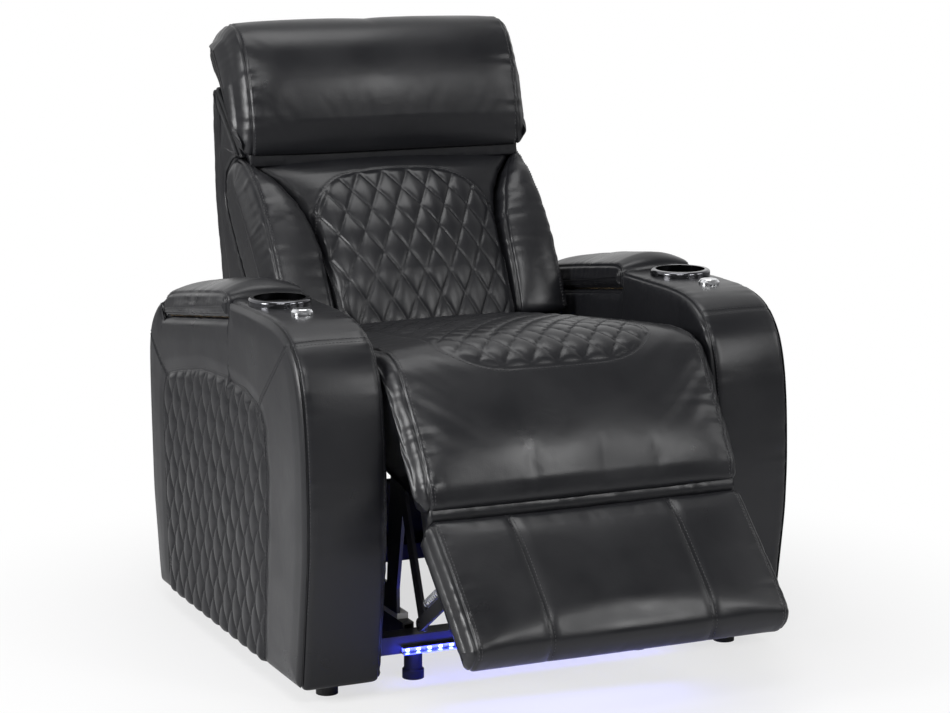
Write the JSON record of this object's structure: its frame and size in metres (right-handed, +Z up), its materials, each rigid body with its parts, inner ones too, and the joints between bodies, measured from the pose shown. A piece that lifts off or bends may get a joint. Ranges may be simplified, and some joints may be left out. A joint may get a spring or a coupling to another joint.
{
  "type": "cinema recliner seat",
  "caption": "Power recliner armchair in black leather with a rising footrest, reclining back, tilting headrest, cup holders, lidded arm storage and floor lighting.",
  "frame": {"origin": "on the floor, under the middle of the seat's length and width", "axes": "+Z up, -Y the way the sitter faces, +X to the viewer's right seen from the front"},
  "size_m": [0.9, 1.2172, 1.067],
  "materials": {
    "black_leather": "semi-gloss grained leather",
    "black_plastic": "fine matt",
    "dark_polished_metal": "dark polished",
    "silver_trim": "satin silver",
    "zinc_steel": "zinc plated",
    "black_painted_steel": "powder coat",
    "white_nylon": "moulded nylon",
    "channel_aluminium": "extruded",
    "led_light": "lit diode",
    "elastic_webbing": "woven elastic",
    "plywood": "bare plywood"
  },
  "bodies": {
    "frame": {"left_arm_body": "black_leather", "right_arm_body": "black_leather", "left_arm_quilt": "black_leather", "right_arm_quilt": "black_leather", "left_storage_tub": "black_plastic", "right_storage_tub": "black_plastic", "left_cup_liner": "black_plastic", "right_cup_liner": "black_plastic", "left_cup_ring": "dark_polished_metal", "right_cup_ring": "dark_polished_metal", "left_switch_bezel": "silver_trim", "right_switch_bezel": "silver_trim", "lid_hinges": "zinc_steel", "arm_glides": "black_plastic", "base_feet": "black_plastic", "base_side_rails": "black_painted_steel", "front_crossbar": "black_painted_steel", "rear_crossbar": "black_painted_steel", "led_channel": "channel_aluminium", "led_diodes": "led_light"},
    "carriage": {"slide_shoes": "white_nylon", "side_plates": "black_painted_steel", "seat_side_rails": "plywood", "seat_front_rail": "plywood", "seat_rear_rail": "plywood", "seat_webbing": "elastic_webbing", "seat_cushion": "black_leather", "nose_hinge": "black_painted_steel", "actuator_motor": "black_plastic", "actuator_tube": "zinc_steel"},
    "drive": {"drive_rod": "zinc_steel"},
    "lower_link_pair": {"torque_tube": "zinc_steel", "lower_links": "black_painted_steel"},
    "upper_link_pair": {"upper_links": "black_painted_steel", "link_spring": "zinc_steel"},
    "flap": {"flap_arms": "black_painted_steel", "flap_board": "plywood", "flap_pad": "black_leather"},
    "footrest": {"footrest_brackets": "black_painted_steel", "footrest_board": "plywood", "footrest_pad": "black_leather"},
    "back": {"back_brackets": "black_painted_steel", "back_cross_rail": "plywood", "back_formers": "plywood", "back_board": "plywood", "back_shell": "black_leather", "back_centre_cushion": "black_leather", "left_wing_bolster": "black_leather", "right_wing_bolster": "black_leather", "headrest_hinge": "zinc_steel"},
    "headrest": {"headrest_board": "plywood", "headrest_pad": "black_leather"},
    "left_lid": {"left_lid_pad": "black_leather", "left_lid_board": "plywood"},
    "right_lid": {"right_lid_pad": "black_leather", "right_lid_board": "plywood"},
    "left_recline_key": {"left_recline_key": "silver_trim"},
    "left_return_key": {"left_return_key": "silver_trim"},
    "right_recline_key": {"right_recline_key": "silver_trim"},
    "right_return_key": {"right_return_key": "silver_trim"}
  },
  "joints": [
    {"name": "carriage_slide", "type": "slide", "parent": "frame", "child": "carriage", "axis": [0, -1, 0], "range_m": [-0.045, 0.04]},
    {"name": "drive_slide", "type": "slide", "parent": "carriage", "child": "drive", "axis": [0, -1, 0], "range_m": [-0.0199, 0.0177]},
    {"name": "lower_link_hinge", "type": "hinge", "parent": "carriage", "child": "lower_link_pair", "pos_m": [0, -0.17534, 0.365], "axis": [-1, 0, 0], "range_deg": [-33.77, 30.02]},
    {"name": "flap_hinge", "type": "hinge", "parent": "carriage", "child": "flap", "pos_m": [0, -0.23034, 0.482], "axis": [-1, 0, 0], "range_deg": [-18.02, 16.02]},
    {"name": "footrest_hinge", "type": "hinge", "parent": "flap", "child": "footrest", "pos_m": [0, -0.41506, 0.32796], "axis": [-1, 0, 0], "range_deg": [-29.82, 26.51]},
    {"name": "upper_link_hinge", "type": "hinge", "parent": "footrest", "child": "upper_link_pair", "pos_m": [0, -0.44155, 0.22186], "axis": [-1, 0, 0], "range_deg": [-36.51, 41.07]},
    {"name": "back_recline", "type": "hinge", "parent": "carriage", "child": "back", "pos_m": [0, 0.33066, 0.412], "axis": [-1, 0, 0], "range_deg": [0, 35]},
    {"name": "headrest_tilt", "type": "hinge", "parent": "back", "child": "headrest", "pos_m": [0, 0.43166, 0.816], "axis": [1, 0, 0], "range_deg": [0, 35]},
    {"name": "left_lid_hinge", "type": "hinge", "parent": "frame", "child": "left_lid", "pos_m": [-0.375, 0.40666, 0.573], "axis": [-1, 0, 0], "range_deg": [0, 85]},
    {"name": "right_lid_hinge", "type": "hinge", "parent": "frame", "child": "right_lid", "pos_m": [0.375, 0.40666, 0.573], "axis": [-1, 0, 0], "range_deg": [0, 85]},
    {"name": "left_recline_press", "type": "slide", "parent": "frame", "child": "left_recline_key", "axis": [0, 0, -1], "range_m": [0, 0.0015], "stiffness_N_per_m": 600, "springref_m": -0.001},
    {"name": "left_return_press", "type": "slide", "parent": "frame", "child": "left_return_key", "axis": [0, 0, -1], "range_m": [0, 0.0015], "stiffness_N_per_m": 600, "springref_m": -0.001},
    {"name": "right_recline_press", "type": "slide", "parent": "frame", "child": "right_recline_key", "axis": [0, 0, -1], "range_m": [0, 0.0015], "stiffness_N_per_m": 600, "springref_m": -0.001},
    {"name": "right_return_press", "type": "slide", "parent": "frame", "child": "right_return_key", "axis": [0, 0, -1], "range_m": [0, 0.0015], "stiffness_N_per_m": 600, "springref_m": -0.001}
  ],
  "couplings": [
    {"joint": "drive_slide", "follows": "carriage_slide", "ratio": 0.44},
    {"joint": "lower_link_hinge", "follows": "carriage_slide", "rad_per_m": 13.09},
    {"joint": "flap_hinge", "follows": "carriage_slide", "rad_per_m": 6.9813},
    {"joint": "footrest_hinge", "follows": "carriage_slide", "rad_per_m": 11.558},
    {"joint": "upper_link_hinge", "follows": "carriage_slide", "rad_per_m": -15.921}
  ]
}
